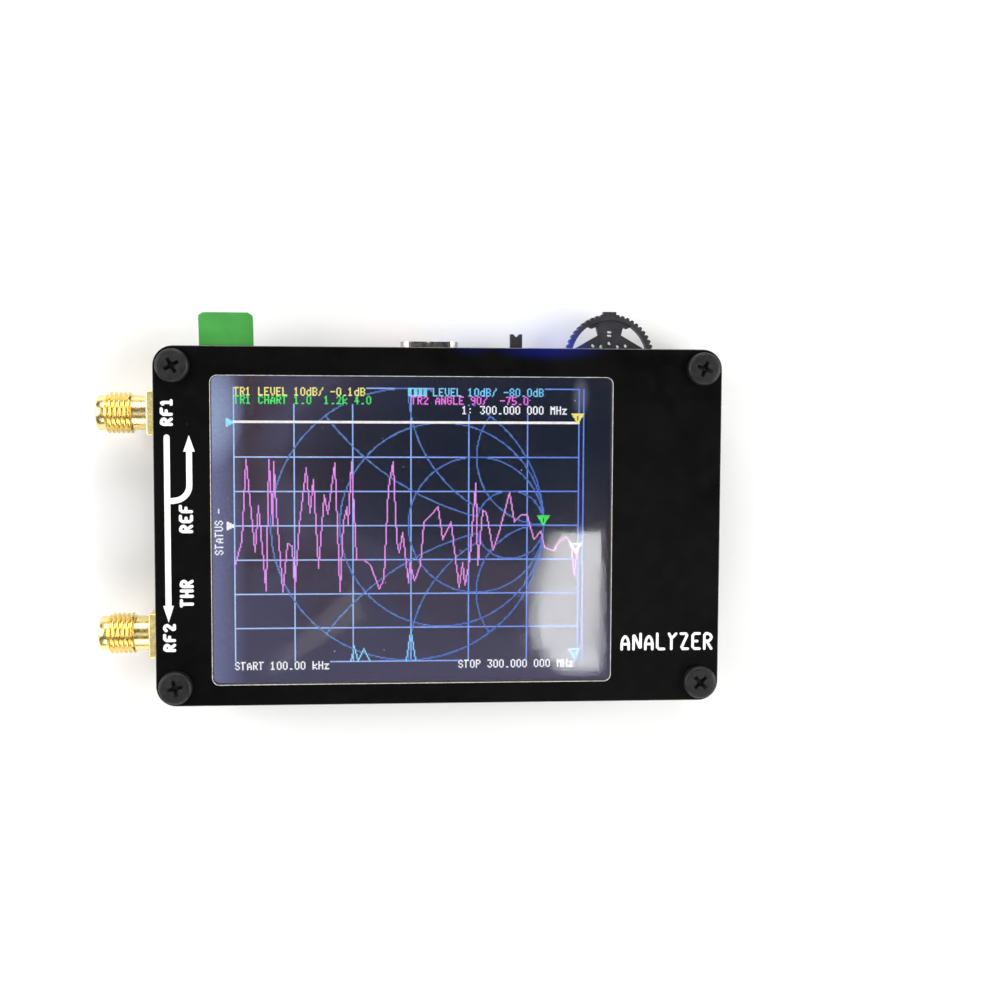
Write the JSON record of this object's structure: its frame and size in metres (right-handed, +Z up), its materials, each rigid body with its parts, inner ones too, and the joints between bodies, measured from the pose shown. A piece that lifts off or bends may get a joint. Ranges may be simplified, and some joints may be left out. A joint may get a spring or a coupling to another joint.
{
  "type": "vector network analyzer",
  "caption": "Pocket vector network analyzer: touch display in an open-sided sandwich of circuit boards, with threaded coaxial jacks, a USB socket, a slide switch and a thumb lever wheel.",
  "frame": {"origin": "middle of the bounding box in plan, at the level of the lower screw heads that it rests on", "axes": "+X to the right of the display (the jacks point to -X), +Y to the rear edge with the USB socket, the switch and the lever wheel, +Z up out of the display"},
  "size_m": [0.095, 0.0602, 0.0158],
  "materials": {
    "solder_mask": "semi-gloss black solder mask on glass-fibre board",
    "foam": "black adhesive foam",
    "white_plastic": "moulded",
    "display": "polished, backlit",
    "clear_glass": "polished",
    "clear_film": "smooth film",
    "green_film": "matte film",
    "polyimide": "flexible circuit",
    "steel": "nickel plated",
    "tin_plate": "dull tin plate",
    "black_plastic": "moulded",
    "lever_plastic": "moulded, satin",
    "chip_epoxy": "moulded epoxy",
    "ferrite": "sintered",
    "led_lens": "clear lens",
    "battery_pouch": "laminated foil pouch",
    "red_insulation": "extruded",
    "black_insulation": "extruded",
    "black_oxide_steel": "black oxide",
    "standoff_brass": "machined",
    "gold_plate": "gold plated",
    "ptfe": "turned PTFE"
  },
  "bodies": {
    "root": {"audio_codec_chip": "chip_epoxy", "back_panel": "solder_mask", "back_screw_near_left": "black_oxide_steel", "back_screw_near_right": "black_oxide_steel", "back_screw_rear_left": "black_oxide_steel", "back_screw_rear_right": "black_oxide_steel", "backlight_frame": "white_plastic", "battery_cell": "battery_pouch", "battery_lead_black": "black_insulation", "battery_lead_red": "red_insulation", "battery_plug": "white_plastic", "battery_socket": "white_plastic", "battery_tape": "foam", "charge_led": "led_lens", "charger_chip": "chip_epoxy", "clock_chip": "chip_epoxy", "display_foam_tape": "foam", "display_glass": "display", "display_ribbon": "polyimide", "film_pull_tab": "green_film", "front_panel": "solder_mask", "front_screw_near_left": "black_oxide_steel", "front_screw_near_right": "black_oxide_steel", "front_screw_rear_left": "black_oxide_steel", "front_screw_rear_right": "black_oxide_steel", "jog_base": "black_plastic", "lower_standoff_near_left": "standoff_brass", "lower_standoff_near_right": "standoff_brass", "lower_standoff_rear_left": "standoff_brass", "lower_standoff_rear_right": "standoff_brass", "main_board": "solder_mask", "port_1_jack_body": "gold_plate", "port_1_jack_contact": "gold_plate", "port_1_jack_insulator": "ptfe", "port_2_jack_body": "gold_plate", "port_2_jack_contact": "gold_plate", "port_2_jack_insulator": "ptfe", "power_inductor": "ferrite", "power_led": "led_lens", "processor_chip": "chip_epoxy", "receiver_shield_near": "tin_plate", "receiver_shield_rear": "tin_plate", "reference_oscillator": "steel", "screen_film": "clear_film", "status_led": "led_lens", "switch_contact_block": "black_plastic", "switch_cover": "steel", "touch_panel": "clear_glass", "touch_ribbon": "polyimide", "upper_standoff_near_left": "standoff_brass", "upper_standoff_near_right": "standoff_brass", "upper_standoff_rear_left": "standoff_brass", "upper_standoff_rear_right": "standoff_brass", "usb_shell": "steel", "usb_tongue": "black_plastic"},
    "jog_carriage": {"jog_carriage": "lever_plastic", "jog_retaining_clip": "steel"},
    "jog_wheel": {"jog_wheel": "lever_plastic"},
    "power_slider": {"switch_slider": "lever_plastic"}
  },
  "joints": [
    {"name": "jog_push", "type": "slide", "parent": "root", "child": "jog_carriage", "axis": [0, -1, 0], "range_m": [0, 0.0006], "stiffness_N_per_m": 2500},
    {"name": "jog_tilt", "type": "hinge", "parent": "jog_carriage", "child": "jog_wheel", "pos_m": [0.0315, 0.02268, 0.005], "axis": [0, 0, 1], "range_deg": [-12, 12], "stiffness_Nm_per_rad": 0.03},
    {"name": "power_slide", "type": "slide", "parent": "root", "child": "power_slider", "axis": [1, 0, 0], "range_m": [0, 0.002]}
  ]
}
